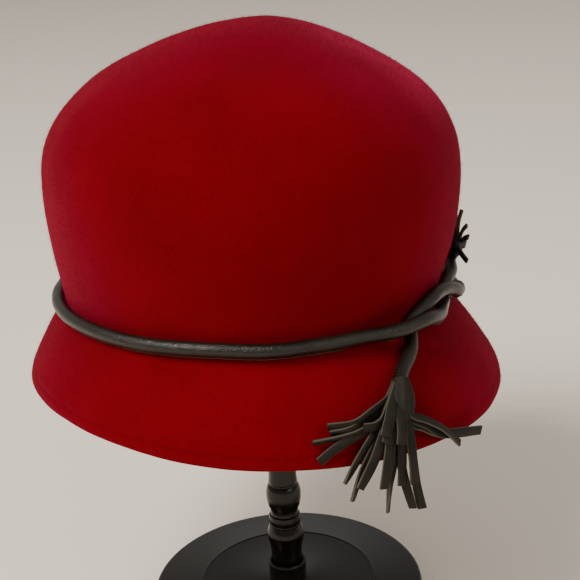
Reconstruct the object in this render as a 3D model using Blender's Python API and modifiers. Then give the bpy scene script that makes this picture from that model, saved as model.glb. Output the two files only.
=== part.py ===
"""A red felt cloche hat with a knotted black leather cord and two tassels, on a black turned stand.

Metres, +Z up. The origin is the centre of the stand's foot, on the floor, and the hat faces -Y.
"""

import functools
import math

import bmesh
import bpy
import numpy as np
from mathutils import Euler, Vector
from mathutils.bvhtree import BVHTree

MM = 0.001
NAME = "felt_hat_on_stand"

# The hat: the head opening's outer half sizes, measured on the felt at the cord line.
HEAD_HALF_WIDTH = 84.6 * MM
HEAD_HALF_DEPTH = 97.2 * MM
CROWN_HEIGHT = 120.0 * MM
BRIM_FLARE = 20.0 * MM
BRIM_DROP = 36.0 * MM
FELT_WALL = 2.5 * MM
HEM_WALL = 4.2 * MM
HEM_WIDTH = 5.5 * MM
RIM_ROUND = 0.9 * MM
HEM_RINGS = (
    # share of the hem's width above the edge, wall as a share of the hem's
    (1.3, FELT_WALL / HEM_WALL),
    (1.0, 1.0),
    (0.5, 1.0),
    (0.0, 1.0),
)
FELT_COLUMNS = 48
CROWN_RINGS = 16
BRIM_RINGS = 7
GAP = 0.3 * MM
FELT_REACH = 4.0 * MM
FELT_PUSHES = 4
FELT_PUSH_MORE = 0.05 * MM

# Where the hat sits on its stand.
HAT_HEIGHT = 164.5 * MM
HAT_SIDEWAYS = -7.5 * MM
HAT_BACKWARDS = 4.0 * MM
HAT_TILT_BACK = math.radians(4.6)
HAT_TILT_RIGHT = math.radians(2.0)

# The crown from its top down to the cord line, as shares of its height, its half sizes and its width.
CROWN_ROWS = (
    # height, half size, shift to the right
    (1.000, 0.000, 0.095),
    (0.984, 0.200, 0.078),
    (0.938, 0.425, 0.055),
    (0.868, 0.645, 0.040),
    (0.782, 0.840, 0.025),
    (0.680, 0.985, 0.010),
    (0.570, 1.067, 0.000),
    (0.450, 1.090, 0.000),
    (0.320, 1.080, 0.000),
    (0.180, 1.053, 0.000),
    (0.060, 1.022, 0.000),
)

# The brim from the cord line to its edge, as shares of its flare and its drop at that place.
BRIM_ROWS = (
    # outwards, downwards
    (0.00, 0.00),
    (0.22, 0.16),
    (0.45, 0.34),
    (0.65, 0.53),
    (0.85, 0.73),
    (0.96, 0.87),
    (1.00, 1.00),
)

# How the brim's edge waves round the hat. The front is at 0 degrees and the hat's right side at 90.
BRIM_WAVES = (
    # degrees, share of the flare, share of the drop
    (0, 1.00, 1.17),
    (45, 1.42, 1.11),
    (90, 1.27, 1.00),
    (135, 0.82, 0.93),
    (180, 0.85, 0.93),
    (225, 0.80, 0.94),
    (270, 0.90, 0.98),
    (315, 0.82, 1.02),
)

# Soft dents and ridges of the crown, pushed towards its middle. Depth and spread are shares of the head's half
# width. The last is where the knot presses in.
DENTS_TOWARDS = 0.4
CROWN_DENTS = (
    # degrees, height share, depth, spread
    (75, 0.90, 0.030, 0.28),
    (260, 0.80, -0.012, 0.20),
    (76, 0.03, 0.052, 0.16),
)

# The leather cord lies on the felt. Its route runs from the small tassel down under the loop, round the front,
# the left and the back of the crown, then over itself at the right side and under itself to the big tassel.
CORD_RADIUS = 2.85 * MM
CORD_POINT_SPACING = 4 * CORD_RADIUS
CORD_ROUTE = (
    # degrees, millimetres below the cord line, height off the felt in cord thicknesses
    (92, -14.5, 0.25),
    (93.5, -11.5, 0.05),
    (93, -9.0, 0.00),
    (86, -7.4, 0.00),
    (79, -4.6, 0.00),
    (74, -0.6, 0.00),
    (68, 1.6, 0.00),
    (62, 1.2, 0.25),
    (54, -2.4, 0.90),
    (45.5, -7.2, 1.15),
    (37, -5.2, 0.90),
    (28, -1.2, 0.30),
    (18, 0.6, 0.00),
    (0, 1.2, 0.00),
    (-30, 1.2, 0.00),
    (-60, 0.8, 0.00),
    (-90, 0.3, 0.00),
    (-120, 0.0, 0.00),
    (-150, 0.0, 0.00),
    (-180, 0.0, 0.00),
    (-210, 0.0, 0.00),
    (-235, 0.5, 0.00),
    (-250, 1.5, 0.00),
    (-262, 3.0, 0.00),
    (-272, 5.5, 0.10),
    (-279, 8.2, 0.40),
    (-285, 7.0, 0.95),
    (-289, -2.0, 1.15),
    (-292, -7.8, 0.80),
    (-296, -9.6, 0.25),
    (-301, -10.4, 0.00),
    (-306, -9.2, 0.00),
    (-311.5, -5.8, 0.00),
    (-315, -1.0, 0.00),
    (-317, 7.0, 0.00),
    (-320, 13.0, 0.00),
    (-325, 19.0, 0.10),
    (-327, 23.0, 0.25),
)

# The tassels: flat leather strips from a rolled head. Rows go down the felt from the cord's end.
STRIP_WIDTH = 3.2 * MM
STRIP_THICKNESS = 1.2 * MM
STRIP_LEGS = 5
STRIP_FAN = 0.12
STRIP_BEND = 1.4
HEAD_SIDES = 12
LOWER_HEAD = (
    # degrees, millimetres down, off the felt, half width, half thickness
    (32.6, 25.0, 5.0, 3.3, 3.3),
    (32.4, 27.0, 5.6, 5.2, 4.4),
    (32.0, 31.0, 5.8, 5.6, 4.7),
    (31.6, 35.0, 5.6, 4.6, 4.3),
    (31.2, 38.0, 5.2, 3.6, 3.6),
)
LOWER_STRIPS = (
    # tip degrees, tip down, tip off the felt, sag, turn, width share, start off the head's middle
    (15.0, 33.0, 4.0, 2.0, 70, 1.0, 1.0),
    (15.5, 36.5, 3.5, 2.5, 60, 1.0, -0.5),
    (11.5, 38.0, 3.0, 2.5, 75, 1.0, -2.0),
    (13.0, 44.0, 2.0, 1.0, 10, 1.0, -3.0),
    (17.5, 52.5, 3.5, 0.0, 20, 0.8, -2.5),
    (19.0, 58.5, 4.5, 0.0, 0, 1.0, -1.0),
    (20.5, 55.5, 7.0, 0.0, 0, 1.1, 1.0),
    (25.0, 57.5, 7.5, 0.0, 0, 1.1, 1.5),
    (26.3, 67.0, 4.0, 0.0, 0, 1.0, -1.5),
    (26.0, 63.0, 5.5, 0.0, 5, 0.9, 0.0),
    (26.5, 42.0, 9.5, 0.0, 0, 1.3, 3.0),
    (29.0, 43.5, 9.5, 0.0, 0, 1.2, 3.2),
    (29.0, 58.0, 6.0, 0.0, 0, 0.9, 0.0),
    (30.6, 69.0, 4.0, 0.0, -5, 1.0, -2.0),
    (31.0, 58.5, 8.0, 0.0, 0, 1.0, 1.5),
    (32.8, 69.5, 5.5, 0.0, 5, 1.0, -0.5),
    (48.5, 51.0, 4.0, -1.5, 15, 1.1, 0.5),
    (43.5, 51.0, 4.0, 0.0, 30, 0.9, 1.5),
)
UPPER_HEAD = (
    # degrees, millimetres down, off the felt, half width, half thickness
    (92.0, -16.6, 5.0, 2.6, 2.6),
    (92.0, -17.5, 5.0, 2.6, 2.6),
    (92.0, -19.5, 5.2, 2.7, 2.7),
    (92.2, -23.0, 5.0, 2.9, 2.9),
)
UPPER_STRIPS = (
    # tip degrees, tip down, tip off the felt, sag, turn, width share, start off the head's middle
    (93.0, -35.0, 3.5, 0.0, 3, 1.0, 0.2),
    (90.0, -30.0, 5.5, 0.0, 20, 0.95, 0.8),
    (88.0, -26.0, 7.5, 0.0, 40, 0.9, 1.1),
    (98.0, -34.0, 3.5, 0.0, 6, 1.0, -0.5),
    (103.0, -31.0, 3.5, 0.0, -12, 1.05, -0.9),
    (107.0, -26.0, 3.5, 0.0, -5, 0.9, 0.3),
)
BINDING_DOWN = -18.1 * MM
BINDING_THICKNESS = 1.5 * MM
BINDING_CLEARANCE = 0.5 * MM
BINDING_SEGMENTS = 14
BINDING_SIDES = 6

# The stand: heights are above the floor, and the post's table is above the foot's top.
FOOT_RADIUS = 66.0 * MM
FOOT_STEP_RADIUS = 43.5 * MM
FOOT_EDGE_HEIGHT = 10.0 * MM
FOOT_HEIGHT = 12.0 * MM
FOOT_BEVEL = 1.2 * MM
SOCKET_RADIUS = 9.15 * MM
SOCKET_HEIGHT = 10.0 * MM
SOCKET_EDGE = 0.8 * MM
SOCKET_DEPTH = 1.0 * MM
FOOT_SEGMENTS = 48
POST_RADIUS = 6.65 * MM
POST_ROWS = (
    # millimetres above the foot's top, radius as a share of the post's
    (10.3, 1.04),
    (11.5, 1.12),
    (16.5, 1.15),
    (20.5, 1.23),
    (24.5, 1.31),
    (28.0, 1.27),
    (30.5, 1.14),
    (32.0, 1.09),
    (39.5, 1.07),
    (41.5, 1.13),
    (44.0, 1.22),
    (48.0, 1.24),
    (51.0, 1.17),
    (52.5, 1.03),
    (57.0, 1.00),
)
CAP_RADIUS = 48.0 * MM
CAP_DOME_RADIUS = 62.0 * MM
CAP_RIM_HEIGHT = 5.0 * MM
CAP_RINGS = 7
CAP_SEGMENTS = 36
POST_SEGMENTS = 24
SEAT_RINGS = 6
SEAT_TURNS = 24


def fresh_collection(name, parent):
    collection = bpy.data.collections.new(name)
    parent.children.link(collection)
    return collection


def material(name, colour, roughness, metallic=0.0):
    made = bpy.data.materials.new(name)
    made.use_nodes = True
    shader = made.node_tree.nodes["Principled BSDF"]
    shader.inputs["Base Color"].default_value = (*colour, 1.0)
    shader.inputs["Roughness"].default_value = roughness
    shader.inputs["Metallic"].default_value = metallic
    return made


def add_object(name, data, collection, surface, parent=None):
    made = bpy.data.objects.new(name, data)
    collection.objects.link(made)
    data.materials.append(surface)
    made.parent = parent
    return made


def smooth_curve(rows, steps):
    """Points on a Catmull-Rom curve through the rows, at each of the steps, counted in rows from 0."""
    rows = np.asarray(rows, float)
    first = 2 * rows[0] - rows[1]
    last = 2 * rows[-1] - rows[-2]
    padded = np.vstack([first, rows, last])
    found = []
    for step in steps:
        leg = min(int(step), len(rows) - 2)
        t = step - leg
        a, b, c, d = padded[leg : leg + 4]
        found.append(
            0.5 * (2 * b + (c - a) * t + (2 * a - 5 * b + 4 * c - d) * t * t + (3 * b - a - 3 * c + d) * t**3)
        )
    return np.array(found)


def brim_wave(azimuth):
    """The flare's and the drop's shares at this azimuth, from a closed smooth curve round the table."""
    table = [row[1:] for row in BRIM_WAVES]
    around = table[-1:] + table + table[:2]
    step = 1 + (azimuth % math.tau) / math.tau * len(table)
    return smooth_curve(around, [step])[0]


def outline(azimuth):
    """The felt's outer outline at this azimuth in the hat's frame, as one row from the top for each table row."""
    across = math.sin(azimuth)
    along = -math.cos(azimuth)
    flare, drop = brim_wave(azimuth) * (BRIM_FLARE, BRIM_DROP)
    rows = []
    for height, size, shift in CROWN_ROWS:
        x = size * HEAD_HALF_WIDTH * across + shift * HEAD_HALF_WIDTH
        y = size * HEAD_HALF_DEPTH * along
        rows.append((x, y, height * CROWN_HEIGHT))
    for outwards, downwards in BRIM_ROWS:
        x = (HEAD_HALF_WIDTH + outwards * flare) * across
        y = (HEAD_HALF_DEPTH + outwards * flare) * along
        rows.append((x, y, -downwards * drop))
    return rows


def dented(points):
    """Moves points of the crown in and out where the felt has a dent or a ridge."""
    centre = np.array((0, 0, DENTS_TOWARDS * CROWN_HEIGHT))
    for degrees, height, depth, spread in CROWN_DENTS:
        azimuth = math.radians(degrees)
        heights = [row[0] for row in CROWN_ROWS[::-1]]
        size = np.interp(height, heights, [row[1] for row in CROWN_ROWS[::-1]])
        x = size * HEAD_HALF_WIDTH * math.sin(azimuth)
        y = -size * HEAD_HALF_DEPTH * math.cos(azimuth)
        place = np.array((x, y, height * CROWN_HEIGHT))
        near = np.linalg.norm(points - place, axis=1) / (spread * HEAD_HALF_WIDTH)
        inwards = centre - points
        inwards /= np.linalg.norm(inwards, axis=1)[:, None]
        points = points + inwards * (depth * HEAD_HALF_WIDTH * np.exp(-(near**2)))[:, None]
    return points


@functools.lru_cache(maxsize=None)
def profile(azimuth, count=60):
    """Points down the felt's outer outline, and how far each lies below the cord line along the felt."""
    rows = outline(azimuth)
    neck = len(CROWN_ROWS)
    steps = np.linspace(0, len(rows) - 1, count * 2 + 1)
    points = dented(smooth_curve(rows, steps))
    lengths = np.concatenate([[0], np.cumsum(np.linalg.norm(np.diff(points, axis=0), axis=1))])
    return points, lengths - np.interp(neck, steps, lengths)


def on_felt(azimuth, down):
    """A point of the felt's outer face. Past the brim's edge it goes on straight down."""
    points, lengths = profile(azimuth)
    past = max(0.0, down - lengths[-1])
    place = np.array([np.interp(down, lengths, points[:, axis]) for axis in range(3)])
    return place - (0, 0, past)


def off_felt(azimuth, down, away):
    """A point this far away from the felt's outer face, square to it. Beside the neck's bend it is a mean."""
    turn = FELT_REACH / HEAD_HALF_WIDTH
    around = on_felt(azimuth + turn, down) - on_felt(azimuth - turn, down)
    lower = on_felt(azimuth, down + FELT_REACH) - on_felt(azimuth, down - FELT_REACH)
    normal = np.cross(lower, around)
    return on_felt(azimuth, down) + normal / np.linalg.norm(normal) * away


def make_felt_body(collection, surface, hat):
    """Crown and brim are one sheet of felt, given its wall and its thicker hem by Solidify."""
    shape = bmesh.new()
    azimuths = [math.tau * column / FELT_COLUMNS for column in range(FELT_COLUMNS)]
    profiles = [profile(azimuth) for azimuth in azimuths]
    crown_shares = np.linspace(0, 1, CROWN_RINGS + 1)[1:]
    brim_shares = np.linspace(0, 1, BRIM_RINGS + 1)[1:-1]
    rings = []
    weights = []
    for share in crown_shares:
        rings.append([(share - 1) * -lengths[0] for _, lengths in profiles])
        weights.append(FELT_WALL / HEM_WALL)
    for share in brim_shares:
        rings.append([share * (lengths[-1] - HEM_RINGS[0][0] * HEM_WIDTH) for _, lengths in profiles])
        weights.append(FELT_WALL / HEM_WALL)
    for above_edge, wall_share in HEM_RINGS:
        rings.append([lengths[-1] - above_edge * HEM_WIDTH for _, lengths in profiles])
        weights.append(wall_share)
    top = shape.verts.new(profiles[0][0][0])
    loops = []
    for downs in rings:
        loop = []
        for (points, lengths), down in zip(profiles, downs):
            loop.append(shape.verts.new([np.interp(down, lengths, points[:, axis]) for axis in range(3)]))
        loops.append(loop)
    for column in range(FELT_COLUMNS):
        beside = (column + 1) % FELT_COLUMNS
        shape.faces.new((top, loops[0][column], loops[0][beside]))
        for upper, lower in zip(loops, loops[1:]):
            shape.faces.new((upper[column], lower[column], lower[beside], upper[beside]))
    bmesh.ops.recalc_face_normals(shape, faces=shape.faces)
    mesh = bpy.data.meshes.new("felt_body")
    shape.to_mesh(mesh)
    shape.free()
    mesh.shade_smooth()
    body = add_object("felt_body", mesh, collection, surface, hat)
    group = body.vertex_groups.new(name="wall")
    group.add([0], FELT_WALL / HEM_WALL, "REPLACE")
    for ring, weight in enumerate(weights):
        first = 1 + ring * FELT_COLUMNS
        group.add(list(range(first, first + FELT_COLUMNS)), weight, "REPLACE")
    wall = body.modifiers.new("Wall", "SOLIDIFY")
    wall.thickness = HEM_WALL
    wall.offset = -1.0
    wall.vertex_group = group.name
    wall.thickness_vertex_group = 0.0
    rim = body.modifiers.new("Round rim", "BEVEL")
    rim.width = RIM_ROUND
    rim.segments = 2
    rim.limit_method = "ANGLE"
    rim.angle_limit = math.radians(60)
    return body


def clear_of_felt(place, distance, felt_tree):
    """The place, moved straight off the felt where it lies closer to it than this distance."""
    for _ in range(FELT_PUSHES):
        nearest, _, _, near = felt_tree.find_nearest(Vector(place))
        if near >= distance:
            break
        outwards = np.array(Vector(place) - nearest) / near
        place = place + outwards * (distance - near + FELT_PUSH_MORE)
    return place


def cord_points(felt_tree):
    """The cord's centre line in the hat's frame, read from a smooth curve through its route."""
    away = CORD_RADIUS + GAP
    route = []
    for degrees, down, lift in CORD_ROUTE:
        route.append(off_felt(math.radians(degrees), down * MM, away + lift * (2 * CORD_RADIUS + GAP)))
    steps = []
    for leg in range(len(route) - 1):
        count = math.ceil(np.linalg.norm(route[leg + 1] - route[leg]) / CORD_POINT_SPACING)
        steps += [leg + part / count for part in range(count)]
    steps.append(len(route) - 1)
    return [clear_of_felt(place, away, felt_tree) for place in smooth_curve(route, steps)]


def make_leather_cord(collection, surface, hat, felt_tree):
    points = cord_points(felt_tree)
    curve = bpy.data.curves.new("leather_cord", "CURVE")
    curve.dimensions = "3D"
    curve.bevel_depth = CORD_RADIUS
    curve.bevel_resolution = 3
    curve.use_fill_caps = True
    spline = curve.splines.new("POLY")
    spline.points.add(len(points) - 1)
    for point, place in zip(spline.points, points):
        point.co = (*place, 1)
    spline.use_smooth = True
    return add_object("leather_cord", curve, collection, surface, hat)


def lofted(shape, rings):
    """A closed solid through rings of points, each ring listed the same way round."""
    loops = [[shape.verts.new(place) for place in ring] for ring in rings]
    for upper, lower in zip(loops, loops[1:]):
        for side in range(len(upper)):
            beside = (side + 1) % len(upper)
            shape.faces.new((upper[side], lower[side], lower[beside], upper[beside]))
    shape.faces.new(loops[0][::-1])
    shape.faces.new(loops[-1])


def loft_object(name, rings, collection):
    shape = bmesh.new()
    lofted(shape, rings)
    bmesh.ops.recalc_face_normals(shape, faces=shape.faces)
    mesh = bpy.data.meshes.new(name)
    shape.to_mesh(mesh)
    shape.free()
    made = bpy.data.objects.new(name, mesh)
    collection.objects.link(made)
    return made


def section(centre, forwards, sideways, half_width, half_thickness, sides):
    """A ring of points square to forwards: a rectangle with 4 sides, else an ellipse."""
    forwards = forwards / np.linalg.norm(forwards)
    sideways = sideways - forwards * np.dot(sideways, forwards)
    sideways /= np.linalg.norm(sideways)
    upwards = np.cross(forwards, sideways)
    stretch = math.sqrt(2) if sides == 4 else 1.0
    ring = []
    for side in range(sides):
        angle = math.tau * (side + 0.5) / sides
        ring.append(
            centre
            + sideways * (math.cos(angle) * stretch * half_width)
            + upwards * (math.sin(angle) * stretch * half_thickness)
        )
    return ring


def strip_rings(start, tip, sag, turn, width):
    """A flat strip's sections. Its ends are (degrees, millimetres down, millimetres off the felt)."""
    share = np.linspace(0, 1, STRIP_LEGS + 1)
    bend = share**STRIP_BEND
    places = []
    for along, across in zip(share, bend):
        degrees = start[0] + (tip[0] - start[0]) * across
        down = start[1] + (tip[1] - start[1]) * along + sag * math.sin(math.pi * along)
        away = start[2] + (tip[2] - start[2]) * along
        places.append(
            (off_felt(math.radians(degrees), down * MM, away * MM), off_felt(math.radians(degrees), down * MM, 0))
        )
    centres = np.array([place[0] for place in places])
    forwards = np.gradient(centres, axis=0)
    rings = []
    for index, (centre, foot) in enumerate(places):
        normal = (centre - foot) / np.linalg.norm(centre - foot)
        flat = np.cross(forwards[index], normal)
        angle = math.radians(turn) * share[index]
        flat /= np.linalg.norm(flat)
        sideways = flat * math.cos(angle) + normal * math.sin(angle)
        rings.append(section(centre, forwards[index], sideways, width / 2, STRIP_THICKNESS / 2, 4))
    return rings


def make_tassel(name, head_rows, strips, collection, helpers, surface, hat):
    """The head is a rolled bundle, and the strips are joined to it."""
    centres = np.array([off_felt(math.radians(row[0]), row[1] * MM, row[2] * MM) for row in head_rows])
    forwards = np.gradient(centres, axis=0)
    rings = []
    for centre, ahead, row in zip(centres, forwards, head_rows):
        foot = off_felt(math.radians(row[0]), row[1] * MM, 0)
        sideways = np.cross(ahead, centre - foot)
        rings.append(section(centre, ahead, sideways, row[3] * MM, row[4] * MM, HEAD_SIDES))
    tassel = loft_object(name, rings, collection)
    tassel.data.materials.append(surface)
    tassel.parent = hat
    loose = bpy.data.collections.new(name + "_strips")
    helpers.children.link(loose)
    start_row = np.mean(head_rows[-2:], axis=0)
    for number, (degrees, down, off, sag, turn, width, start_off) in enumerate(strips):
        start = (start_row[0] + STRIP_FAN * (degrees - start_row[0]), start_row[1], start_row[2] + start_off)
        rings = strip_rings(start, (degrees, down, off), sag, turn, width * STRIP_WIDTH)
        strip = loft_object(f"{name}_strip_{number:02d}", rings, loose)
        strip.parent = hat
        strip.hide_render = True
        strip.display_type = "WIRE"
    union = tassel.modifiers.new("Strips", "BOOLEAN")
    union.operation = "UNION"
    union.operand_type = "COLLECTION"
    union.collection = loose
    return tassel


def make_binding(collection, surface, hat):
    """The black thread wound round the small tassel's head, as one ring."""
    degrees, _, off, half_width, _ = UPPER_HEAD[0]
    azimuth = math.radians(degrees)
    centre = Vector(off_felt(azimuth, BINDING_DOWN, off * MM))
    along = Vector(off_felt(azimuth, BINDING_DOWN - MM, off * MM)) - Vector(
        off_felt(azimuth, BINDING_DOWN + MM, off * MM)
    )
    bpy.ops.mesh.primitive_torus_add(
        major_segments=BINDING_SEGMENTS,
        minor_segments=BINDING_SIDES,
        major_radius=half_width * MM + BINDING_CLEARANCE + BINDING_THICKNESS / 2,
        minor_radius=BINDING_THICKNESS / 2,
    )
    ring = bpy.context.active_object
    ring.name = "binding_upper"
    ring.data.name = "binding_upper"
    ring.data.materials.append(surface)
    ring.data.shade_smooth()
    for owner in ring.users_collection:
        owner.objects.unlink(ring)
    collection.objects.link(ring)
    ring.parent = hat
    ring.location = centre
    ring.rotation_euler = along.to_track_quat("Z", "Y").to_euler()
    return ring


def turned(name, rows, collection, surface, steps):
    """A solid turned round Z. The rows are (radius, height) from the top down its outer side."""
    shape = bmesh.new()
    chain = [shape.verts.new((radius, 0.0, height)) for radius, height in rows]
    for start, end in zip(chain, chain[1:]):
        shape.edges.new((start, end))
    mesh = bpy.data.meshes.new(name)
    shape.to_mesh(mesh)
    shape.free()
    made = add_object(name, mesh, collection, surface)
    screw = made.modifiers.new("Turn", "SCREW")
    screw.steps = steps
    screw.render_steps = steps
    screw.use_merge_vertices = True
    screw.merge_threshold = 0.00001
    screw.use_smooth_shade = True
    return made


def make_foot(collection, surface):
    """The round foot with its raised disc, and the socket that the post stands in."""
    bore = POST_ROWS[0][1] * POST_RADIUS + GAP
    socket_top = FOOT_HEIGHT + SOCKET_HEIGHT
    rows = [
        (0.0, FOOT_HEIGHT - SOCKET_DEPTH),
        (bore, FOOT_HEIGHT - SOCKET_DEPTH),
        (bore, socket_top),
        (SOCKET_RADIUS - SOCKET_EDGE, socket_top),
        (SOCKET_RADIUS, socket_top - SOCKET_EDGE),
        (SOCKET_RADIUS, FOOT_HEIGHT),
        (FOOT_STEP_RADIUS - FOOT_BEVEL, FOOT_HEIGHT),
        (FOOT_STEP_RADIUS, FOOT_HEIGHT - FOOT_BEVEL),
        (FOOT_STEP_RADIUS + FOOT_BEVEL / 2, FOOT_EDGE_HEIGHT),
        (FOOT_RADIUS - FOOT_BEVEL, FOOT_EDGE_HEIGHT),
        (FOOT_RADIUS, FOOT_EDGE_HEIGHT - FOOT_BEVEL),
        (FOOT_RADIUS, FOOT_BEVEL),
        (FOOT_RADIUS - FOOT_BEVEL, 0.0),
        (0.0, 0.0),
    ]
    turned("stand_foot", rows, collection, surface, FOOT_SEGMENTS)


def dome_sink(radius):
    """How far the cap's dome lies below its top at this radius."""
    return CAP_DOME_RADIUS - math.sqrt(CAP_DOME_RADIUS**2 - radius**2)


def make_post_and_cap(collection, surface, felt, felt_tree):
    """The plain cap touches the crown from inside where the felt comes lowest over it, and the post carries it."""
    to_hat = felt.matrix_world.inverted()
    upwards = to_hat.to_3x3() @ Vector((0, 0, 1))
    seats = []
    for ring in range(SEAT_RINGS + 1):
        radius = CAP_RADIUS * ring / SEAT_RINGS
        for turn in range(SEAT_TURNS):
            angle = math.tau * turn / SEAT_TURNS
            below = Vector((radius * math.cos(angle), radius * math.sin(angle), HAT_HEIGHT))
            hit = felt_tree.ray_cast(to_hat @ below, upwards)[0]
            seats.append((felt.matrix_world @ hit).z + dome_sink(radius))
    cap_top = min(seats) - GAP
    cap_bottom = cap_top - dome_sink(CAP_RADIUS) - CAP_RIM_HEIGHT
    cap_rows = []
    for ring in range(CAP_RINGS + 1):
        radius = CAP_RADIUS * ring / CAP_RINGS
        cap_rows.append((radius, cap_top - dome_sink(radius)))
    cap_rows += [(CAP_RADIUS, cap_bottom), (0.0, cap_bottom)]
    turned("stand_cap", cap_rows, collection, surface, CAP_SEGMENTS)
    post_top = cap_bottom - GAP
    post_bottom = FOOT_HEIGHT - SOCKET_DEPTH + GAP
    post_rows = [(0.0, post_top), (POST_RADIUS, post_top)]
    for height, share in POST_ROWS[::-1]:
        post_rows.append((share * POST_RADIUS, FOOT_HEIGHT + height * MM))
    post_rows += [(POST_ROWS[0][1] * POST_RADIUS, post_bottom), (0.0, post_bottom)]
    turned("stand_post", post_rows, collection, surface, POST_SEGMENTS)


def main():
    for old in list(bpy.data.objects):
        bpy.data.objects.remove(old)
    parts = fresh_collection(NAME, bpy.context.scene.collection)
    helpers = fresh_collection("cutters", bpy.context.scene.collection)
    helpers.hide_render = True
    hat = bpy.data.objects.new("hat_frame", None)
    parts.objects.link(hat)
    hat.location = (HAT_SIDEWAYS, HAT_BACKWARDS, HAT_HEIGHT)
    hat.rotation_euler = Euler((-HAT_TILT_BACK, HAT_TILT_RIGHT, 0.0))
    red_felt = material("red felt", (0.17, 0.003, 0.004), 0.95)
    strip_leather = material("charcoal strip leather", (0.022, 0.019, 0.017), 0.6)
    cord_leather = material("black cord leather", (0.018, 0.015, 0.013), 0.42)
    black_thread = material("black thread", (0.008, 0.008, 0.009), 0.8)
    black_wood = material("black painted wood", (0.010, 0.009, 0.008), 0.25)
    felt = make_felt_body(parts, red_felt, hat)
    bpy.context.view_layer.update()
    felt_tree = BVHTree.FromObject(felt, bpy.context.evaluated_depsgraph_get())
    make_leather_cord(parts, cord_leather, hat, felt_tree)
    make_tassel("tassel_lower", LOWER_HEAD, LOWER_STRIPS, parts, helpers, strip_leather, hat)
    make_tassel("tassel_upper", UPPER_HEAD, UPPER_STRIPS, parts, helpers, strip_leather, hat)
    make_binding(parts, black_thread, hat)
    make_foot(parts, black_wood)
    make_post_and_cap(parts, black_wood, felt, felt_tree)


main()
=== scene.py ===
"""A red wool-felt cloche with a knotted black leather cord and two strip tassels, on a turned black stand."""

import math

import bmesh
import bpy
import numpy as np
from mathutils import Matrix, Vector, noise
from mathutils.bvhtree import BVHTree


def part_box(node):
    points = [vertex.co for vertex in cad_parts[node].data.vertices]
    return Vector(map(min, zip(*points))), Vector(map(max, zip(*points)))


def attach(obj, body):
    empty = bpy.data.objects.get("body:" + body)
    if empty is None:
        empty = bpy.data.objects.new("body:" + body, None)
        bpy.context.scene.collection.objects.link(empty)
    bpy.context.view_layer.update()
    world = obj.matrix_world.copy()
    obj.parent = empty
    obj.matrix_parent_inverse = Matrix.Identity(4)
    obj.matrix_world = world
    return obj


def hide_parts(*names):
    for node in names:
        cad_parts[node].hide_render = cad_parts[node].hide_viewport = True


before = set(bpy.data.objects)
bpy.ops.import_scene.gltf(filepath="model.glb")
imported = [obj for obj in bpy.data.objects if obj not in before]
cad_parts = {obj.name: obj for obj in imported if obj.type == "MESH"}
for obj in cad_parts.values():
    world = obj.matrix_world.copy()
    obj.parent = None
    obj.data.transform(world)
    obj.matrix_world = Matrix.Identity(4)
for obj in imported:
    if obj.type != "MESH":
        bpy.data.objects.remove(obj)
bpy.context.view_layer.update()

# The camera stands where the photographer stood: a little above the crown, looking down on the brim, with
# the picture turned by three degrees.
camera_data = bpy.data.cameras.new("photo_camera")
camera_data.sensor_width = 36.0
camera_data.lens = 74.48
camera_data.clip_start = 0.01
camera = bpy.data.objects.new("photo_camera", camera_data)
bpy.context.scene.collection.objects.link(camera)
camera.location = (0.0083, -0.5137, 0.3439)
looking_down = Matrix.Rotation(math.radians(70.5), 3, "X")
camera.rotation_euler = (looking_down @ Matrix.Rotation(math.radians(-3.0), 3, "Z")).to_euler()
bpy.context.scene.camera = camera

# The trim is one round leather cord with a cut seam lip along its lower side. It lies round the foot of the
# crown, is knotted over itself at the hat's left, and both ends run into tassels. The felt holds it all the way.
MM = 0.001
CORD_RADIUS = 2.85 * MM
CORD_GAP = 0.3 * MM
LIP_REACH = 0.5 * MM
LIP_HALF = 0.22 * MM
CORD_SIDES = 26
CORD_ROUTE = (
    # across, back and up, in millimetres, from the small tassel round the hat to the big one
    (85.2, 8.6, 174.1),
    (83.2, 11.1, 171.2),
    (82.4, 9.9, 168.8),
    (81.1, -3.0, 168.5),
    (77.2, -15.0, 168.0),
    (74.5, -21.9, 166.6),
    (73.6, -32.6, 165.9),
    (71.5, -43.2, 166.6),
    (68.4, -57.4, 168.2),
    (61.7, -71.2, 172.0),
    (49.7, -80.4, 171.5),
    (35.0, -85.6, 171.5),
    (20.1, -91.4, 171.7),
    (-7.2, -96.6, 172.6),
    (-51.6, -83.0, 173.0),
    (-83.8, -46.0, 171.4),
    (-95.5, 4.0, 168.1),
    (-83.9, 54.0, 163.7),
    (-51.9, 90.8, 159.6),
    (-7.8, 104.4, 157.0),
    (36.5, 90.8, 156.5),
    (64.5, 61.4, 157.8),
    (75.4, 38.3, 159.0),
    (80.6, 18.1, 160.0),
    (82.8, 0.3, 160.6),
    (83.2, -12.3, 162.6),
    (81.4, -22.3, 167.6),
    (80.3, -27.1, 167.1),
    (79.3, -33.0, 170.1),
    (74.9, -40.2, 173.5),
    (70.2, -47.9, 175.3),
    (65.7, -55.4, 174.8),
    (59.6, -62.7, 172.0),
    (55.2, -66.8, 169.1),
    (55.1, -72.0, 165.7),
    (54.1, -79.3, 161.7),
    (49.7, -89.0, 158.0),
    (48.3, -94.0, 155.5),
)


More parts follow.
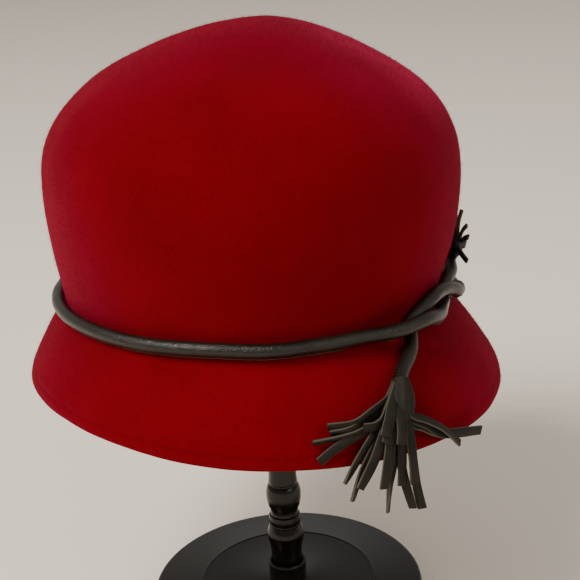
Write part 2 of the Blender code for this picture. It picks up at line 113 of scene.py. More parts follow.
def smooth_path(rows, spacing):
    """Points at this spacing on a smooth curve through the rows, all in metres."""
    rows = np.asarray(rows, float)
    padded = np.vstack([2 * rows[0] - rows[1], rows, 2 * rows[-1] - rows[-2]])
    fine = []
    for a, b, c, d in zip(padded, padded[1:], padded[2:], padded[3:]):
        for t in np.linspace(0, 1, 24, endpoint=False):
            bent = (2 * a - 5 * b + 4 * c - d) * t * t + (3 * b - a - 3 * c + d) * t**3
            fine.append(0.5 * (2 * b + (c - a) * t + bent))
    fine = np.array(fine + [rows[-1]])
    lengths = np.concatenate([[0], np.cumsum(np.linalg.norm(np.diff(fine, axis=0), axis=1))])
    wanted = np.linspace(0, lengths[-1], max(2, round(lengths[-1] / spacing)) + 1)
    return np.column_stack([np.interp(wanted, lengths, fine[:, axis]) for axis in range(3)])


def unit(vectors):
    return vectors / np.linalg.norm(vectors, axis=-1, keepdims=True)


def sweep(shape, centres, away, sections, worn):
    """Adds a closed tube to the bmesh. A section's points are (to the side, away from the felt), in metres."""
    uv = shape.loops.layers.uv.verify()
    wear = shape.verts.layers.float.get("worn") or shape.verts.layers.float.new("worn")
    forwards = unit(np.gradient(centres, axis=0))
    along = np.concatenate([[0], np.cumsum(np.linalg.norm(np.diff(centres, axis=0), axis=1))])
    loops = []
    for centre, ahead, out, section in zip(centres, forwards, away, sections):
        out = unit(out - ahead * np.dot(out, ahead))
        side = np.cross(out, ahead)
        loop = []
        for (sideways, outwards), rubbed in zip(section, worn):
            corner = shape.verts.new(centre + side * sideways + out * outwards)
            corner[wear] = rubbed
            loop.append(corner)
        loops.append(loop)
    count = len(worn)
    closed = np.vstack([sections[0], sections[0][:1]])
    around = np.concatenate([[0], np.cumsum(np.linalg.norm(np.diff(closed, axis=0), axis=1))])
    for row, (first, second) in enumerate(zip(loops, loops[1:])):
        for side in range(count):
            beside = (side + 1) % count
            face = shape.faces.new((first[side], first[beside], second[beside], second[side]))
            face.smooth = True
            spots = ((side, row), (side + 1, row), (side + 1, row + 1), (side, row + 1))
            for corner, (u, v) in zip(face.loops, spots):
                corner[uv].uv = (around[u], along[v])
    shape.faces.new(loops[0][::-1])
    shape.faces.new(loops[-1])


def piece_from(shape, name, crease=40):
    """A finished object from the bmesh, faces outwards, with edges sharper than the crease left sharp."""
    bmesh.ops.recalc_face_normals(shape, faces=shape.faces)
    mesh = bpy.data.meshes.new(name)
    shape.to_mesh(mesh)
    shape.free()
    piece = bpy.data.objects.new(name, mesh)
    bpy.context.scene.collection.objects.link(piece)
    hold(piece)
    bpy.ops.object.shade_smooth_by_angle(angle=math.radians(crease))
    return piece


def hold(piece):
    """Selects this piece alone, for the operators that follow."""
    for other in bpy.context.selected_objects:
        other.select_set(False)
    piece.select_set(True)
    bpy.context.view_layer.objects.active = piece


felt_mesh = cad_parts["felt_body"].data
felt_tree = BVHTree.FromPolygons([v.co.copy() for v in felt_mesh.vertices], [p.vertices[:] for p in felt_mesh.polygons])


def felt_under(places):
    """For each place, the direction straight away from the nearest felt."""
    found = []
    for place in places:
        nearest = felt_tree.find_nearest(Vector(place))[0]
        found.append(unit(np.array(Vector(place) - nearest)))
    return np.array(found)


def smoothed(values, times):
    for _ in range(times):
        values = np.vstack([values[:1], (values[:-2] + values[1:-1] * 2 + values[2:]) / 4, values[-1:]])
    return values


cord_line = smooth_path(np.array(CORD_ROUTE) * MM, 1.6 * MM)
for number, place in enumerate(cord_line):
    nearest, _, _, near = felt_tree.find_nearest(Vector(place))
    if near < CORD_RADIUS + CORD_GAP:
        cord_line[number] += np.array(Vector(place) - nearest) / near * (CORD_RADIUS + CORD_GAP - near)
cord_line = smoothed(cord_line, 2)
cord_away = smoothed(felt_under(cord_line), 8)
LIP_ANGLE = math.radians(14)
turns = np.linspace(LIP_ANGLE, math.tau - LIP_ANGLE, CORD_SIDES) - math.radians(24)
round_section = np.column_stack([np.cos(turns), np.sin(turns)]) * CORD_RADIUS
lip_turn = -math.radians(24)
lip_out = np.array((math.cos(lip_turn), math.sin(lip_turn))) * (CORD_RADIUS + LIP_REACH)
lip_across = np.array((-math.sin(lip_turn), math.cos(lip_turn))) * LIP_HALF
lip_section = np.array([lip_out - lip_across, lip_out + lip_across])
cord_section = np.vstack([round_section, lip_section])
cord_worn = [0.0] * (CORD_SIDES) + [1.0, 1.0]
cord_shape = bmesh.new()
sweep(cord_shape, cord_line, cord_away, np.repeat(cord_section[None], len(cord_line), axis=0), cord_worn)
cord = piece_from(cord_shape, "trim_cord", 55)


def put(tree, kind, sockets=None, **settings):
    """Adds a shader node. A socket's value is a number, a colour or another node's output."""
    made = tree.nodes.new("ShaderNode" + kind)
    for name, value in settings.items():
        setattr(made, name, value)
    for name, value in (sockets or {}).items():
        if isinstance(value, bpy.types.NodeSocket):
            tree.links.new(value, made.inputs[name])
        else:
            made.inputs[name].default_value = value
    return made


def mixed(tree, share, first, second):
    """The colour between two colours, at this share of the second."""
    blend = put(tree, "Mix", {0: share, 6: first, 7: second}, data_type="RGBA")
    return blend.outputs[2]


def between(tree, value, low, high, to_low=0.0, to_high=1.0):
    """The value's range from low to high spread over another range, held at its ends."""
    spread = put(tree, "MapRange", {0: value, 1: low, 2: high, 3: to_low, 4: to_high})
    return spread.outputs[0]


def colour(red, green, blue):
    return (red, green, blue, 1.0)


def new_material(name, roughness, **sockets):
    """A material with its tree and its Principled shader. The named sockets hold plain numbers or colours."""
    made = bpy.data.materials.new(name)
    made.use_nodes = True
    tree = made.node_tree
    shader = tree.nodes["Principled BSDF"]
    shader.inputs["Roughness"].default_value = roughness
    for socket, value in sockets.items():
        shader.inputs[socket.replace("_", " ")].default_value = value
    return made, tree, shader


def new_group(name, inputs, outputs):
    """A node group whose inputs are numbers, except the vector named Place."""
    group = bpy.data.node_groups.new(name, "ShaderNodeTree")
    for label, value in inputs:
        kind = "NodeSocketVector" if label == "Place" else "NodeSocketFloat"
        socket = group.interface.new_socket(name=label, in_out="INPUT", socket_type=kind)
        if label != "Place":
            socket.default_value = value
    for label in outputs:
        group.interface.new_socket(name=label, in_out="OUTPUT", socket_type="NodeSocketFloat")
    taken = group.nodes.new("NodeGroupInput").outputs
    given = group.nodes.new("NodeGroupOutput").inputs
    return group, taken, given


def put_group(tree, group, sockets):
    made = tree.nodes.new("ShaderNodeGroup")
    made.node_tree = group
    for name, value in sockets.items():
        if isinstance(value, bpy.types.NodeSocket):
            tree.links.new(value, made.inputs[name])
        else:
            made.inputs[name].default_value = value
    return made


# The grain of leather: fine cells with creases between them, over a slow unevenness of the hide.
hide_grain, taken, given = new_group("hide grain", [("Place", 0), ("Cells", 900), ("Patches", 60)], ["Height", "Rub"])
cells = put(hide_grain, "TexVoronoi", {"Vector": taken["Place"], "Scale": taken["Cells"]}, feature="DISTANCE_TO_EDGE")
pores = put(hide_grain, "TexNoise", {"Vector": taken["Place"], "Scale": taken["Cells"], "Detail": 5.0})
patches = put(hide_grain, "TexNoise", {"Vector": taken["Place"], "Scale": taken["Patches"], "Detail": 3.0})
crease = between(hide_grain, cells.outputs["Distance"], 0.0, 0.22)
grain_sum = put(hide_grain, "Math", {0: crease, 1: pores.outputs[0]}, operation="ADD")
hide_grain.links.new(grain_sum.outputs[0], given["Height"])
rub = between(hide_grain, patches.outputs[0], 0.35, 0.7)
hide_grain.links.new(rub, given["Rub"])

cord_leather, tree, shader = new_material("black cord leather", 0.3, Specular_IOR_Level=0.34)
place = put(tree, "TexCoord").outputs["Object"]
grain = put_group(tree, hide_grain, {"Place": place, "Cells": 1100.0, "Patches": 45.0})
worn_edge = put(tree, "Attribute", attribute_name="worn").outputs["Fac"]
hide = mixed(tree, grain.outputs["Rub"], colour(0.0056, 0.0042, 0.0024), colour(0.0120, 0.0092, 0.0052))
lip_mask = between(tree, worn_edge, 0.35, 0.95)
tree.links.new(mixed(tree, lip_mask, hide, colour(0.085, 0.072, 0.050)), shader.inputs["Base Color"])
tree.links.new(between(tree, grain.outputs["Rub"], 0.0, 1.0, 0.25, 0.4), shader.inputs["Roughness"])
bump = put(tree, "Bump", {"Height": grain.outputs["Height"], "Strength": 0.4, "Distance": 0.0002})
tree.links.new(bump.outputs[0], shader.inputs["Normal"])
cord.data.materials.append(cord_leather)
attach(cord, "root")
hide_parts("leather_cord")

# The hat is one sheet of wool felt, blocked wet into a round crown and a soft turned-down brim. The brim's edge
# is turned inside and pressed, which leaves a faint groove and a few stitches; the groove is drawn with painted shade
# along it, and the stitches are not drawn. It rests on the stand's cap.
HAT_MIDDLE = np.array((-7.5, 4.0)) * MM
HEM_UP = 6.0 * MM
HEM_PRESS = 0.28 * MM
FELT_DENTS = (
    # across, back, up, inwards and spread, in millimetres
    (-29.8, -97.0, 162.5, 1.5, 3.2),
    (44.0, -41.0, 264.0, 1.2, 17.0),
    (-72.0, -36.0, 255.0, -1.0, 16.0),
    (60.0, -42.0, 253.0, -0.9, 14.0),
    (-20.0, -80.0, 245.0, 0.7, 26.0),
    (64.0, -80.0, 150.0, 0.9, 10.0),
    (-70.0, -84.0, 150.0, -0.7, 14.0),
)
hat_mesh = felt_mesh.copy()
hat_mesh.name = "felt_hat"
hat_mesh.materials.clear()
hat = bpy.data.objects.new("felt_hat", hat_mesh)
bpy.context.scene.collection.objects.link(hat)
hold(hat)
bpy.ops.object.mode_set(mode="EDIT")
bpy.ops.mesh.select_all(action="SELECT")
bpy.ops.mesh.remove_doubles(threshold=0.02 * MM)
bpy.ops.mesh.tris_convert_to_quads(face_threshold=math.radians(70), shape_threshold=math.radians(70))
bpy.ops.mesh.faces_shade_smooth()
bpy.ops.object.mode_set(mode="OBJECT")
rounding = hat.modifiers.new("Rounding", "SUBSURF")
rounding.levels = 2
rounding.render_levels = 2
bpy.ops.object.modifier_apply(modifier="Rounding")
hat_mesh = hat.data
spots = np.empty(len(hat_mesh.vertices) * 3)
hat_mesh.vertices.foreach_get("co", spots)
spots = spots.reshape(-1, 3)
normals = np.array([vertex.normal[:] for vertex in hat_mesh.vertices])
radial = np.column_stack([spots[:, :2] - HAT_MIDDLE, np.zeros(len(spots))])
outer = (unit(radial + 1e-9) * normals).sum(axis=1) + normals[:, 2] > 0
heading = np.arctan2(radial[:, 1], radial[:, 0])
sector = np.floor((heading + math.pi) / math.tau * 240).astype(int) % 240
edge = []
for number in range(240):
    inside = np.flatnonzero(sector == number)
    if len(inside):
        edge.append(spots[inside[spots[inside, 2].argmin()]])
edge = np.array(edge)
edge = sum(np.roll(edge, turn, axis=0) for turn in range(-6, 7)) / 13
above_edge = np.array([np.linalg.norm(edge - spot, axis=1).min() for spot in spots])
hem = hat_mesh.attributes.new("above_edge", "FLOAT", "POINT")
hem.data.foreach_set("value", above_edge)
moved = np.zeros(len(spots))
for across, back, up, inwards, spread in FELT_DENTS:
    near = np.linalg.norm(spots - np.array((across, back, up)) * MM, axis=1)
    moved -= inwards * MM * np.exp(-((near / (spread * MM)) ** 2))
press = np.exp(-(((above_edge - HEM_UP) / (0.8 * MM)) ** 2)) * outer
moved -= HEM_PRESS * press
for number, spot in enumerate(spots):
    slow = noise.noise(Vector(spot) * 22.0)
    quick = noise.noise(Vector(spot) * 90.0)
    moved[number] += (slow * 0.55 + quick * 0.16) * MM
inner_side = np.where(outer, 1.0, -1.0)
spots += normals * (moved * inner_side)[:, None]
hat_mesh.vertices.foreach_set("co", spots.reshape(-1))
hat_mesh.update()

red_felt, tree, shader = new_material(
    "red wool felt", 0.95, Specular_IOR_Level=0.05, Sheen_Weight=0.25, Sheen_Roughness=0.4,
    Sheen_Tint=colour(1.0, 0.05, 0.20),
)
place = put(tree, "TexCoord").outputs["Object"]
clouds = put(tree, "TexNoise", {"Vector": place, "Scale": 26.0, "Detail": 3.0}).outputs[0]
tufts = put(tree, "TexNoise", {"Vector": place, "Scale": 1300.0, "Detail": 6.0, "Roughness": 0.7}).outputs[0]
fibres = put(tree, "TexNoise", {"Vector": place, "Scale": 1500.0, "Detail": 4.0, "Distortion": 1.6}).outputs[0]
dye = mixed(tree, between(tree, clouds, 0.32, 0.7), colour(0.110, 0.0002, 0.0030), colour(0.136, 0.0003, 0.0042))
dye = mixed(tree, between(tree, tufts, 0.45, 0.75, 0.0, 0.35), dye, colour(0.18, 0.002, 0.008))
up_from_edge = put(tree, "Attribute", attribute_name="above_edge").outputs["Fac"]
off_line = put(tree, "Math", {0: up_from_edge, 1: HEM_UP}, operation="SUBTRACT").outputs[0]
off_line = put(tree, "Math", {0: off_line}, operation="ABSOLUTE").outputs[0]
# Painted shade: a thin darker band of red along the pressed hem line, where the groove would lie in shade.
line = between(tree, off_line, 0.15 * MM, 0.9 * MM, 0.2, 0.0)
tree.links.new(mixed(tree, line, dye, colour(0.075, 0.0006, 0.0015)), shader.inputs["Base Color"])
nap = put(tree, "Math", {0: fibres, 1: 0.6}, operation="MULTIPLY").outputs[0]
nap = put(tree, "Math", {0: nap, 1: tufts}, operation="ADD").outputs[0]
bump = put(tree, "Bump", {"Height": nap, "Strength": 0.35, "Distance": 0.0005})
tree.links.new(bump.outputs[0], shader.inputs["Normal"])
hat_mesh.materials.append(red_felt)
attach(hat, "root")
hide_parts("felt_body")

# The nap: short wool ends that stand off the felt all over and soften its outline.
NAP_COUNT = 52000
NAP_LENGTH = (0.5 * MM, 1.7 * MM)
NAP_HALF_WIDTH = 0.028 * MM


def tufted(name, count, lengths, half_width, surface, seed, lift=(0.25, 1.1)):
    """Curved fibres rooted all over the felt's outer face, as one mesh of slim blades."""
    chance = np.random.default_rng(seed)
    hat_mesh.calc_loop_triangles()
    corners = np.empty(len(hat_mesh.loop_triangles) * 3, dtype=np.int32)
    hat_mesh.loop_triangles.foreach_get("vertices", corners)
    corners = corners.reshape(-1, 3)
    corners = corners[outer[corners].all(axis=1)]
    a, b, c = (spots[corners[:, side]] for side in range(3))
    square = np.cross(b - a, c - a)
    size = np.linalg.norm(square, axis=1)
    picked = chance.choice(len(corners), count, p=size / size.sum())
    first, second = chance.random((2, count, 1))
    over = first + second > 1
    first, second = np.where(over, 1 - first, first), np.where(over, 1 - second, second)
    root = a[picked] + (b - a)[picked] * first + (c - a)[picked] * second
    upright = unit(square[picked])
    lean = unit(np.cross(upright, chance.normal(size=(count, 3))))
    curl = np.cross(upright, lean)
    length = chance.uniform(*lengths, (count, 1))
    rise = chance.uniform(*lift, (count, 1))
    middle = root + (upright * rise + lean * 0.6) * length * 0.5
    tip = root + (upright * rise + lean + curl * chance.uniform(-0.6, 0.6, (count, 1))) * length
    wide = curl * half_width
    root = root - upright * 0.05 * MM
    points = np.stack([root - wide, root + wide, middle - wide, middle + wide, tip], axis=1).reshape(-1, 3)
    base = np.arange(count)[:, None] * 5
    quads = (base + (0, 1, 3, 2)).tolist()
    ends = (base + (2, 3, 4)).tolist()
    mesh = bpy.data.meshes.new(name)
    mesh.from_pydata(points.tolist(), [], quads + ends)
    mesh.materials.append(surface)
    piece = bpy.data.objects.new(name, mesh)
    bpy.context.scene.collection.objects.link(piece)
    return piece


nap_fibres = tufted("felt_nap", NAP_COUNT, NAP_LENGTH, NAP_HALF_WIDTH, red_felt, 11)
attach(nap_fibres, "root")

# The black strip leather of both tassels: cut from a thin hide, matt on its face, paler along the cut edges.
strip_leather, tree, shader = new_material("charcoal strip leather", 0.6, Specular_IOR_Level=0.18)
place = put(tree, "TexCoord").outputs["Object"]
grain = put_group(tree, hide_grain, {"Place": place, "Cells": 1500.0, "Patches": 110.0})
cut_edge = put(tree, "Attribute", attribute_name="worn").outputs["Fac"]
hide = mixed(tree, grain.outputs["Rub"], colour(0.0062, 0.0048, 0.0026), colour(0.0155, 0.0125, 0.0076))
edge_mask = between(tree, cut_edge, 0.25, 0.9, 0.0, 0.8)
tree.links.new(mixed(tree, edge_mask, hide, colour(0.075, 0.064, 0.046)), shader.inputs["Base Color"])
tree.links.new(between(tree, grain.outputs["Rub"], 0.0, 1.0, 0.5, 0.72), shader.inputs["Roughness"])
bump = put(tree, "Bump", {"Height": grain.outputs["Height"], "Strength": 0.3, "Distance": 0.00025})
tree.links.new(bump.outputs[0], shader.inputs["Normal"])

# The big tassel: the cord's end is wrapped in a rolled leather head, whose lower part is cut into strips. They
# spring apart over the brim. A short patch of the same leather closes the roll at the front; the patch is not modelled.
STRIP_WIDTH = 3.2 * MM
STRIP_THICKNESS = 1.15 * MM
TASSEL_TOP = np.array((48.3, -95.0, 156.2)) * MM
BIG_STRIPS = (
    # four places down the strip in millimetres, share of the strip's width, turn of its flat side
    ((43.6, -101.1, 152.5), (36.2, -107.5, 150.1), (29.3, -110.7, 147.3), (19.5, -111.8, 147.0), 1.0, 50),
    ((42.8, -103.3, 149.9), (33.2, -108.8, 147.2), (27.3, -111.5, 145.2), (20.4, -111.8, 144.3), 0.9, 55),
    ((43.2, -104.7, 151.1), (40.3, -109.3, 147.4), (37.3, -111.2, 146.1), (33.0, -111.7, 145.9), 1.1, 40),
    ((40.2, -105.3, 146.2), (32.1, -110.2, 143.8), (24.7, -112.4, 142.7), (13.7, -114.6, 142.2), 0.9, 70),
    ((38.2, -105.9, 145.6), (27.1, -112.2, 141.4), (20.7, -114.6, 138.3), (15.7, -116.2, 134.9), 1.1, 10),
    ((40.0, -106.6, 145.8), (33.6, -112.5, 138.5), (29.0, -115.4, 132.4), (24.8, -118.2, 126.4), 0.9, 15),
    ((42.1, -105.1, 145.0), (35.4, -113.0, 135.5), (30.7, -115.5, 127.0), (27.4, -118.2, 119.0), 1.1, 0),
    ((42.3, -108.1, 146.4), (37.7, -114.7, 137.3), (34.5, -117.4, 131.5), (30.3, -120.1, 125.0), 1.2, -5),
    ((44.2, -107.8, 146.1), (42.3, -114.0, 137.7), (40.9, -116.4, 130.6), (39.5, -117.1, 123.0), 1.3, 0),
    ((44.9, -105.1, 143.8), (43.4, -110.9, 131.8), (42.1, -111.9, 121.6), (40.9, -114.3, 111.3), 1.0, 5),
    ((45.1, -105.9, 144.1), (44.0, -112.2, 132.4), (42.5, -113.0, 123.3), (41.1, -115.1, 115.6), 1.0, 25),
    ((43.9, -106.9, 151.0), (42.8, -110.4, 148.5), (41.6, -112.9, 146.1), (40.7, -115.2, 143.5), 1.3, 0),
    ((45.0, -105.5, 149.2), (43.6, -109.9, 146.1), (42.3, -112.9, 143.5), (41.0, -115.5, 140.8), 1.3, 0),
    ((47.1, -108.1, 147.7), (47.3, -110.7, 145.3), (47.1, -113.4, 142.9), (46.6, -115.0, 139.8), 1.3, 0),
    ((47.2, -106.2, 144.1), (47.1, -110.7, 136.8), (46.9, -112.3, 129.1), (46.2, -114.1, 122.3), 1.1, 0),
    ((46.4, -104.4, 143.3), (46.6, -109.4, 130.8), (48.4, -109.4, 119.9), (51.1, -109.2, 109.7), 1.1, 0),
    ((50.1, -106.3, 144.0), (50.8, -109.9, 136.2), (51.2, -111.7, 129.1), (51.3, -112.7, 122.1), 1.2, 0),
    ((50.4, -103.7, 142.7), (51.5, -108.9, 130.3), (52.6, -108.3, 119.0), (54.6, -108.9, 109.2), 1.1, 5),
    ((51.0, -102.9, 146.0), (58.0, -100.2, 140.1), (64.8, -96.5, 134.2), (81.3, -82.2, 127.7), 1.2, 5),
    ((51.5, -102.1, 142.9), (56.0, -100.8, 139.4), (61.1, -98.3, 135.7), (68.2, -93.3, 132.0), 1.0, 25),
    ((50.9, -103.9, 147.6), (57.8, -102.4, 143.0), (63.9, -99.9, 138.2), (71.1, -94.3, 128.7), 1.0, 35),
)


def flat_section(half_width, half_thickness):
    """A strip's section: a flat rectangle with its corners broken, and how worn each of its points is."""
    broken = 0.22 * half_thickness * 2
    low, high = half_thickness - broken, half_thickness
    near = half_width - broken
    section = [(near, -high), (half_width, -low), (half_width, low), (near, high)]
    section += [(-sideways, -outwards) for sideways, outwards in section]
    return np.array(section), [0.0, 1.0, 1.0, 0.0] * 2


def add_strip(shape, rows, width, thickness, degrees, facing=None):
    """A flat strip along the rows. Its flat side faces away from the felt, and turns by the degrees at its tip."""
    line = smooth_path(rows, 1.3 * MM)
    if facing is None:
        away = smoothed(felt_under(line), 6)
    else:
        away = np.repeat(np.asarray(facing, float)[None], len(line), axis=0)
    ahead = unit(np.gradient(line, axis=0))
    share = np.linspace(0, 1, len(line))[:, None] ** 0.8
    turned = np.radians(degrees) * share
    side = unit(np.cross(away, ahead))
    away = unit(away - ahead * (away * ahead).sum(axis=1, keepdims=True))
    away = away * np.cos(turned) + side * np.sin(turned)
    section, worn = flat_section(width / 2, thickness / 2)
    sweep(shape, line, away, np.repeat(section[None], len(line), axis=0), worn)


toward_viewer = unit(np.array(camera.location) - TASSEL_TOP)
big_shape = bmesh.new()
for *places, width, degrees in BIG_STRIPS:
    rows = np.array(places) * MM
    spring = rows[0] - TASSEL_TOP
    spring[2] = 0
    top = TASSEL_TOP + unit(spring + toward_viewer * 2 * MM) * 2.6 * MM
    add_strip(big_shape, np.vstack([top, rows]), width * STRIP_WIDTH, STRIP_THICKNESS, degrees)
big_strips = piece_from(big_shape, "big_tassel_strips", 50)
big_strips.data.materials.append(strip_leather)
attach(big_strips, "root")
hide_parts("tassel_lower")

BIG_HEAD = (
    # across, back, up, half width and half depth, in millimetres
    (48.2, -94.6, 157.2, 3.2, 3.2),
    (48.4, -96.0, 155.6, 4.2, 3.9),
    (48.5, -98.0, 153.2, 5.0, 4.4),
    (48.3, -100.4, 150.2, 5.4, 4.6),
    (48.0, -102.6, 147.2, 4.8, 4.3),
    (47.8, -104.2, 144.6, 3.8, 3.6),
)
head_rows = np.array(BIG_HEAD)
head_line = smooth_path(head_rows[:, :3] * MM, 1.0 * MM)
head_shares = np.linspace(0, len(head_rows) - 1, len(head_line))
head_half_widths = np.interp(head_shares, range(len(head_rows)), head_rows[:, 3]) * MM
head_half_depths = np.interp(head_shares, range(len(head_rows)), head_rows[:, 4]) * MM
head_sections = []
for half_width, half_depth in zip(head_half_widths, head_half_depths):
    round_turns = np.linspace(0, math.tau, 40, endpoint=False)
    fold = 1 + 0.07 * np.cos(round_turns * 7 + 0.6) + 0.04 * np.cos(round_turns * 3)
    head_sections.append(np.column_stack([np.cos(round_turns) * half_width, np.sin(round_turns) * half_depth]) * fold[:, None])
head_shape = bmesh.new()
sweep(head_shape, head_line, smoothed(felt_under(head_line), 4), np.array(head_sections), [0.0] * 40)
big_head = piece_from(head_shape, "big_tassel_head", 60)
big_head.data.materials.append(strip_leather)
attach(big_head, "root")

# The small tassel at the crown's left: the cord's other end, bound with thread and cut into short strips.
SMALL_STRIPS = (
    ((85.0, 9.6, 177.0), (86.1, 10.6, 181.5), (86.7, 11.5, 186.5), (88.4, 12.5, 192.0), 1.1, 0),
    ((85.9, 9.0, 177.2), (87.3, 8.5, 181.4), (88.3, 8.0, 183.9), (89.9, 7.2, 186.0), 0.95, 10),
    ((86.6, 8.2, 177.0), (88.0, 6.5, 179.6), (88.8, 4.6, 180.9), (89.8, 3.0, 181.8), 0.9, 10),
    ((85.6, 5.8, 176.4), (86.4, 3.4, 174.6), (87.4, 1.2, 173.2), (88.8, -0.8, 171.6), 0.95, 0),
    ((84.9, 11.0, 177.0), (85.9, 13.6, 181.5), (86.4, 17.5, 187.0), (86.9, 21.5, 192.6), 1.0, 5),
    ((84.5, 12.0, 177.0), (85.3, 17.0, 181.5), (85.1, 23.5, 185.5), (84.9, 30.2, 189.0), 1.05, -10),
    ((84.1, 12.6, 176.5), (84.8, 19.5, 180.0), (83.9, 28.0, 182.4), (82.3, 36.6, 183.6), 0.9, -5),
)
small_shape = bmesh.new()
for *places, width, degrees in SMALL_STRIPS:
    add_strip(small_shape, np.array(places) * MM, width * STRIP_WIDTH, STRIP_THICKNESS, degrees)
SMALL_HEAD = ((85.2, 8.6, 174.4), (85.7, 8.9, 176.2), (86.1, 9.3, 178.6))
SMALL_HEAD_RADIUS = 2.75 * MM
small_line = smooth_path(np.array(SMALL_HEAD) * MM, 1.0 * MM)
small_turns = np.linspace(0, math.tau, 24, endpoint=False)
small_section = np.column_stack([np.cos(small_turns), np.sin(small_turns)]) * SMALL_HEAD_RADIUS
sweep(small_shape, small_line, felt_under(small_line), np.repeat(small_section[None], len(small_line), axis=0), [0.0] * 24)
small_strips = piece_from(small_shape, "small_tassel_strips", 50)
small_strips.data.materials.append(strip_leather)
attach(small_strips, "root")
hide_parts("tassel_upper")

black_thread, tree, shader = new_material("black waxed thread", 0.32, Specular_IOR_Level=0.6)
place = put(tree, "TexCoord").outputs["UV"]
twist = put(tree, "Mapping", {"Vector": place, "Rotation": (0.0, 0.0, 0.7), "Scale": (1.0, 1.0, 1.0)}).outputs[0]
plies = put(tree, "TexWave", {"Vector": twist, "Scale": 700.0, "Distortion": 0.4}).outputs["Fac"]
tree.links.new(mixed(tree, plies, colour(0.004, 0.004, 0.004), colour(0.012, 0.012, 0.012)), shader.inputs["Base Color"])
bump = put(tree, "Bump", {"Height": plies, "Strength": 0.4, "Distance": 0.0001})
tree.links.new(bump.outputs[0], shader.inputs["Normal"])


def wound(shape, middle, axis, radius, pitch, rounds, thread_radius, flatness=1.0):
    """Thread wound round the axis in a close helix, as a closed tube."""
    axis = unit(np.asarray(axis, float))
    first = unit(np.cross(axis, (0.3, 0.2, 1.0)))
    second = np.cross(axis, first)
    steps = np.linspace(0, 1, int(rounds * 28) + 1)
    angle = steps * rounds * math.tau
    level = (steps - 0.5) * rounds * pitch
    line = middle + np.outer(np.cos(angle), first) * radius + np.outer(np.sin(angle), second) * radius * flatness
    line = line + np.outer(level, axis)
    away = unit(line - middle - np.outer(level, axis))
    ring = np.linspace(0, math.tau, 8, endpoint=False)
    section = np.column_stack([np.cos(ring), np.sin(ring)]) * thread_radius
    sweep(shape, line, away, np.repeat(section[None], len(line), axis=0), [0.0] * 8)


thread_shape = bmesh.new()
wound(thread_shape, np.array((86.0, 9.2, 177.6)) * MM, (0.25, -0.02, 1.0), 3.7 * MM, 0.62 * MM, 5.2, 0.34 * MM)
binding = piece_from(thread_shape, "small_tassel_binding", 60)
binding.data.materials.append(black_thread)
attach(binding, "root")
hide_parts("binding_upper")
coil_shape = bmesh.new()
wound(coil_shape, np.array((75.4, -36.6, 168.6)) * MM, (0.42, 0.78, -0.40), 0.62 * MM, 0.75 * MM, 6, 0.27 * MM)
coil = piece_from(coil_shape, "knot_thread", 60)
coil.data.materials.append(black_thread)
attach(coil, "root")

# The stand is turned wood, painted black: a round foot with a raised disc and a socket, and a post with two
# beads and a collar. The plain domed cap inside the crown carries the hat.
FOOT_TOP = 12.0
FOOT_PROFILE = (
    # radius and height above the floor, in millimetres, from the socket's inside outwards and down
    (7.6, 11.0), (7.6, 21.2), (7.9, 21.8), (8.4, 22.0), (8.8, 21.9), (9.1, 21.4), (9.15, 20.6), (9.15, 12.9),
    (9.35, 12.3), (9.9, 12.0), (40.6, 12.0), (40.9, 11.75), (41.4, 11.75), (41.7, 12.0), (42.6, 12.0),
    (43.2, 11.7), (43.5, 11.1), (43.7, 10.3), (44.3, 10.0), (64.3, 10.0), (65.2, 9.7), (65.8, 9.1), (66.0, 8.3),
    (66.0, 1.4), (65.7, 0.6), (65.0, 0.15), (64.2, 0.0),
)
POST_PROFILE = (
    # radius and height above the foot's top, in millimetres, from the socket upwards
    (6.9, -0.7), (6.9, 10.2), (7.3, 11.0), (7.5, 12.0), (7.5, 14.0), (7.6, 16.5), (7.85, 18.6), (8.25, 20.6),
    (8.8, 22.6), (8.95, 24.6), (8.8, 26.6), (8.3, 28.0), (7.85, 29.2), (7.6, 29.9), (7.25, 30.2), (7.2, 30.7),
    (7.5, 31.0), (7.6, 31.6), (7.6, 34.6), (7.5, 35.4), (6.8, 36.0), (6.7, 38.4), (6.9, 39.3), (7.5, 40.4),
    (7.9, 42.0), (8.3, 44.0), (8.42, 46.0), (8.36, 48.0), (7.95, 50.0), (7.5, 51.4), (6.85, 52.2), (6.75, 52.8),
    (6.95, 53.3), (6.9, 54.2), (6.7, 56.0), (6.65, 60.0), (6.65, 240.55),
)


def turned_on_lathe(name, profile, steps, crease=35):
    """A solid turned round the upright axis. The profile's ends are closed to the axis."""
    mesh = bpy.data.meshes.new(name)
    rows = [(0.0, profile[0][1])] + list(profile) + [(0.0, profile[-1][1])]
    points = [(radius * MM, 0.0, height * MM) for radius, height in rows]
    mesh.from_pydata(points, [(row, row + 1) for row in range(len(points) - 1)], [])
    piece = bpy.data.objects.new(name, mesh)
    bpy.context.scene.collection.objects.link(piece)
    hold(piece)
    bpy.ops.object.mode_set(mode="EDIT")
    bpy.ops.mesh.select_all(action="SELECT")
    bpy.ops.mesh.spin(steps=steps, angle=math.tau, center=(0, 0, 0), axis=(0, 0, 1))
    bpy.ops.mesh.select_all(action="SELECT")
    bpy.ops.mesh.remove_doubles(threshold=0.005 * MM)
    bpy.ops.mesh.normals_make_consistent(inside=False)
    bpy.ops.object.mode_set(mode="OBJECT")
    bpy.ops.object.shade_smooth_by_angle(angle=math.radians(crease))
    return piece


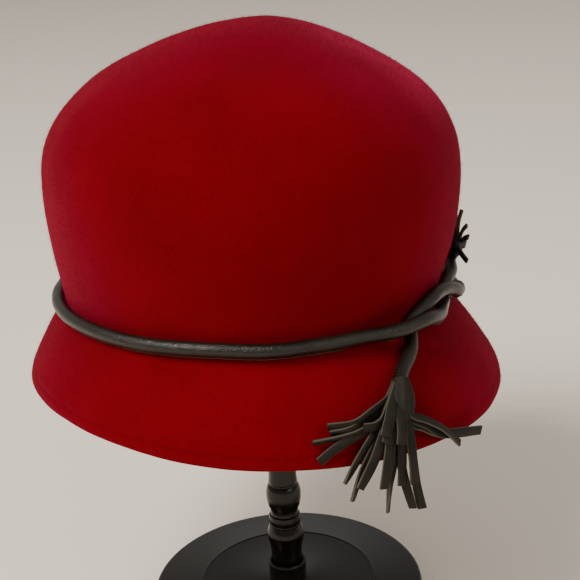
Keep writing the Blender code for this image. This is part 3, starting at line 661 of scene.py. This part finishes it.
foot = turned_on_lathe("stand_foot_turned", FOOT_PROFILE, 160)
post_rows = [(radius, height + FOOT_TOP) for radius, height in POST_PROFILE]
post = turned_on_lathe("stand_post_turned", post_rows, 72, 25)
cap_low, cap_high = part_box("stand_cap")
cap_radius = cap_high[0] / MM
cap_top = cap_high[2] / MM
cap_bottom = cap_low[2] / MM
CAP_DOME = 62.0
dome = []
for step in range(1, 25):
    radius = cap_radius * step / 25
    dome.append((radius, cap_top - CAP_DOME + math.sqrt(CAP_DOME**2 - radius**2)))
cap_rim = cap_top - CAP_DOME + math.sqrt(CAP_DOME**2 - cap_radius**2)
dome += [(cap_radius - 0.5, cap_rim + 0.2), (cap_radius - 0.1, cap_rim - 0.4), (cap_radius, cap_rim - 1.0)]
dome += [(cap_radius, cap_bottom + 0.8), (cap_radius - 0.3, cap_bottom + 0.2), (cap_radius - 0.9, cap_bottom)]
cap = turned_on_lathe("stand_cap_turned", dome[::-1], 96)

lacquer, tree, shader = new_material("black stand paint", 0.2, Specular_IOR_Level=0.26)
place = put(tree, "TexCoord").outputs["Object"]
dust = put(tree, "TexNoise", {"Vector": place, "Scale": 1400.0, "Detail": 2.0}).outputs[0]
smears = put(tree, "TexNoise", {"Vector": place, "Scale": 34.0, "Detail": 4.0}).outputs[0]
rings = put(tree, "TexWave", {"Vector": place, "Scale": 260.0, "Distortion": 0.3}, wave_type="RINGS", rings_direction="Z")
paint = mixed(tree, between(tree, smears, 0.35, 0.7), colour(0.0036, 0.0026, 0.0013), colour(0.0070, 0.0054, 0.0030))
specks = between(tree, dust, 0.7, 0.8, 0.0, 0.35)
tree.links.new(mixed(tree, specks, paint, colour(0.06, 0.055, 0.045)), shader.inputs["Base Color"])
tree.links.new(between(tree, smears, 0.3, 0.75, 0.15, 0.26), shader.inputs["Roughness"])
bump = put(tree, "Bump", {"Height": rings.outputs["Fac"], "Strength": 0.05, "Distance": 0.0001})
tree.links.new(bump.outputs[0], shader.inputs["Normal"])
for piece, node in ((foot, "stand_foot"), (post, "stand_post"), (cap, "stand_cap")):
    piece.data.materials.append(lacquer)
    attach(piece, "root")
    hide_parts(node)

# The studio: a plain pale floor, a pale surrounding light, and soft lamps from the upper left and the right.
floor_mesh = bpy.data.meshes.new("studio_floor")
floor_mesh.from_pydata([(-7, -7, 0), (7, -7, 0), (7, 7, 0), (-7, 7, 0)], [], [(0, 1, 2, 3)])
floor = bpy.data.objects.new("studio_floor", floor_mesh)
bpy.context.scene.collection.objects.link(floor)
pale, tree, shader = new_material("pale floor", 0.8)
shader.inputs["Base Color"].default_value = colour(0.93, 0.84, 0.73)
floor_mesh.materials.append(pale)

world = bpy.data.worlds.new("studio_air")
bpy.context.scene.world = world
world.use_nodes = True
world.node_tree.nodes["Background"].inputs["Color"].default_value = colour(1.0, 0.96, 0.91)
world.node_tree.nodes["Background"].inputs["Strength"].default_value = 0.46


def soft_lamp(name, place, aim, size, power, tint):
    lamp_data = bpy.data.lights.new(name, "AREA")
    lamp_data.size = size
    lamp_data.energy = power
    lamp_data.color = tint
    lamp = bpy.data.objects.new(name, lamp_data)
    lamp.location = place
    lamp.rotation_euler = (Vector(aim) - Vector(place)).to_track_quat("-Z", "Y").to_euler()
    bpy.context.scene.collection.objects.link(lamp)


soft_lamp("key_lamp", (-1.3, -1.0, 2.0), (0, 0, 0.2), 1.1, 80.0, (1.0, 0.96, 0.91))
soft_lamp("fill_lamp", (1.4, -1.2, 1.2), (0, 0, 0.15), 1.2, 12.0, (1.0, 0.95, 0.9))
